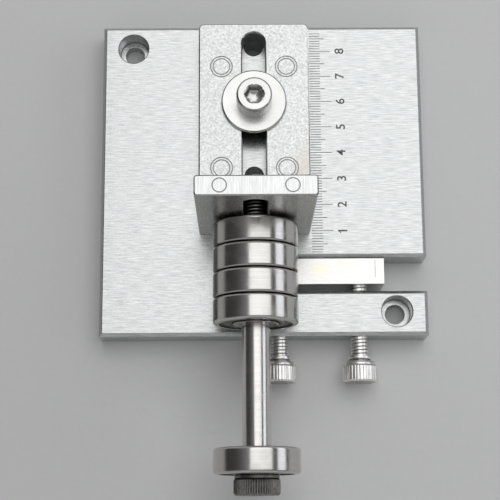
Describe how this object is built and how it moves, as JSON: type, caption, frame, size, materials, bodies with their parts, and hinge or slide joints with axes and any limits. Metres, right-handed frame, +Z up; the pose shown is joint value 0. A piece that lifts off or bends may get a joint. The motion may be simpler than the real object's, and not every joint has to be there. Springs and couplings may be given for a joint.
{
  "type": "manual leather strip cutter",
  "caption": "Bench leather strip cutter: notched plate with a clamped blade, a sliding fence on a scale and a height-adjustable ball bearing roller that holds the leather down.",
  "frame": {"origin": "middle of the base plate's underside, halfway between the two bench screw holes", "axes": "+X to the right along the blade line, +Y to the rear along the fence travel, +Z up"},
  "size_m": [0.12, 0.1763, 0.0695],
  "materials": {
    "plate_aluminium": "brushed",
    "cast_alloy": "blasted casting",
    "bar_steel": "milled",
    "blade_steel": "ground",
    "stainless": "turned, bright",
    "bolt_steel": "ground bright shoulder, blackened knurled head",
    "chrome_steel": "ground and polished",
    "ball_steel": "polished",
    "cage_steel": "plain",
    "shield_steel": "pressed"
  },
  "bodies": {
    "base": {"base_plate": "plate_aluminium", "blade": "blade_steel"},
    "clamp_bar": {"clamp_bar": "bar_steel"},
    "thumb_screw_left": {"thumb_screw_left": "stainless"},
    "thumb_screw_right": {"thumb_screw_right": "stainless"},
    "carriage": {"fence_carriage": "cast_alloy"},
    "clamp_washer": {"clamp_washer": "stainless"},
    "clamp_screw": {"clamp_screw": "stainless"},
    "roller_nut": {"roller_nut": "stainless", "roller_washer": "stainless"},
    "roller_shim": {"roller_shim": "stainless"},
    "roller_bolt": {"roller_bolt": "bolt_steel", "bearing_1_inner_ring": "chrome_steel", "bearing_2_inner_ring": "chrome_steel", "bearing_3_inner_ring": "chrome_steel", "bearing_4_inner_ring": "chrome_steel", "bearing_5_inner_ring": "chrome_steel"},
    "bearing_1": {"bearing_1_outer_ring": "chrome_steel", "bearing_1_shields": "shield_steel"},
    "bearing_1_ball_set": {"bearing_1_cage": "cage_steel", "bearing_1_balls": "ball_steel"},
    "bearing_2": {"bearing_2_outer_ring": "chrome_steel", "bearing_2_shields": "shield_steel"},
    "bearing_2_ball_set": {"bearing_2_cage": "cage_steel", "bearing_2_balls": "ball_steel"},
    "bearing_3": {"bearing_3_outer_ring": "chrome_steel", "bearing_3_shields": "shield_steel"},
    "bearing_3_ball_set": {"bearing_3_cage": "cage_steel", "bearing_3_balls": "ball_steel"},
    "bearing_4": {"bearing_4_outer_ring": "chrome_steel", "bearing_4_shields": "shield_steel"},
    "bearing_4_ball_set": {"bearing_4_cage": "cage_steel", "bearing_4_balls": "ball_steel"},
    "bearing_5": {"bearing_5_outer_ring": "chrome_steel", "bearing_5_shields": "shield_steel"},
    "bearing_5_ball_set": {"bearing_5_cage": "cage_steel", "bearing_5_balls": "ball_steel"}
  },
  "joints": [
    {"name": "carriage_slide", "type": "slide", "parent": "base", "child": "carriage", "axis": [0, 1, 0], "range_m": [-0.008, 0.02]},
    {"name": "clamp_washer_lift", "type": "slide", "parent": "base", "child": "clamp_washer", "axis": [0, 0, 1], "range_m": [0, 0.001]},
    {"name": "clamp_screw_turn", "type": "hinge", "parent": "clamp_washer", "child": "clamp_screw", "pos_m": [-0.0031, 0.0259, 0.012], "axis": [0, 0, 1], "range_deg": [0, 288.2]},
    {"name": "clamp_bar_slide", "type": "slide", "parent": "base", "child": "clamp_bar", "axis": [0, -1, 0], "range_m": [0, 0.0019]},
    {"name": "thumb_screw_left_turn", "type": "hinge", "parent": "clamp_bar", "child": "thumb_screw_left", "pos_m": [0.0056, -0.0595, 0.00655], "axis": [0, -1, 0], "range_deg": [0, 540]},
    {"name": "thumb_screw_right_turn", "type": "hinge", "parent": "clamp_bar", "child": "thumb_screw_right", "pos_m": [0.035, -0.0595, 0.00655], "axis": [0, -1, 0], "range_deg": [0, 540]},
    {"name": "roller_height_slide", "type": "slide", "parent": "carriage", "child": "roller_nut", "axis": [0, 0, 1], "range_m": [-0.0015, 0.027]},
    {"name": "roller_unlock_slide", "type": "slide", "parent": "roller_nut", "child": "roller_shim", "axis": [0, -1, 0], "range_m": [0, 0.001]},
    {"name": "roller_bolt_turn", "type": "hinge", "parent": "roller_shim", "child": "roller_bolt", "pos_m": [-0.0031, -0.0218, 0.032], "axis": [0, -1, 0], "range_deg": [0, 288.2]},
    {"name": "bearing_1_spin", "type": "hinge", "parent": "roller_bolt", "child": "bearing_1", "pos_m": [-0.0031, -0.0218, 0.032], "axis": [0, -1, 0], "continuous": true},
    {"name": "bearing_1_ball_orbit", "type": "hinge", "parent": "roller_bolt", "child": "bearing_1_ball_set", "pos_m": [-0.0031, -0.0218, 0.032], "axis": [0, -1, 0], "continuous": true},
    {"name": "bearing_2_spin", "type": "hinge", "parent": "roller_bolt", "child": "bearing_2", "pos_m": [-0.0031, -0.0218, 0.032], "axis": [0, -1, 0], "continuous": true},
    {"name": "bearing_2_ball_orbit", "type": "hinge", "parent": "roller_bolt", "child": "bearing_2_ball_set", "pos_m": [-0.0031, -0.0218, 0.032], "axis": [0, -1, 0], "continuous": true},
    {"name": "bearing_3_spin", "type": "hinge", "parent": "roller_bolt", "child": "bearing_3", "pos_m": [-0.0031, -0.0218, 0.032], "axis": [0, -1, 0], "continuous": true},
    {"name": "bearing_3_ball_orbit", "type": "hinge", "parent": "roller_bolt", "child": "bearing_3_ball_set", "pos_m": [-0.0031, -0.0218, 0.032], "axis": [0, -1, 0], "continuous": true},
    {"name": "bearing_4_spin", "type": "hinge", "parent": "roller_bolt", "child": "bearing_4", "pos_m": [-0.0031, -0.0218, 0.032], "axis": [0, -1, 0], "continuous": true},
    {"name": "bearing_4_ball_orbit", "type": "hinge", "parent": "roller_bolt", "child": "bearing_4_ball_set", "pos_m": [-0.0031, -0.0218, 0.032], "axis": [0, -1, 0], "continuous": true},
    {"name": "bearing_5_spin", "type": "hinge", "parent": "roller_bolt", "child": "bearing_5", "pos_m": [-0.0031, -0.0218, 0.032], "axis": [0, -1, 0], "continuous": true},
    {"name": "bearing_5_ball_orbit", "type": "hinge", "parent": "roller_bolt", "child": "bearing_5_ball_set", "pos_m": [-0.0031, -0.0218, 0.032], "axis": [0, -1, 0], "continuous": true}
  ],
  "couplings": [
    {"joint": "clamp_screw_turn", "follows": "clamp_washer_lift", "rad_per_m": 5026.5},
    {"joint": "thumb_screw_left_turn", "follows": "clamp_bar_slide", "rad_per_m": 4947.4},
    {"joint": "thumb_screw_right_turn", "follows": "clamp_bar_slide", "rad_per_m": 4947.4},
    {"joint": "roller_bolt_turn", "follows": "roller_unlock_slide", "rad_per_m": 5026.5},
    {"joint": "bearing_1_ball_orbit", "follows": "bearing_1_spin", "ratio": 0.619},
    {"joint": "bearing_2_ball_orbit", "follows": "bearing_2_spin", "ratio": 0.619},
    {"joint": "bearing_3_ball_orbit", "follows": "bearing_3_spin", "ratio": 0.619},
    {"joint": "bearing_4_ball_orbit", "follows": "bearing_4_spin", "ratio": 0.619},
    {"joint": "bearing_5_ball_orbit", "follows": "bearing_5_spin", "ratio": 0.619}
  ]
}
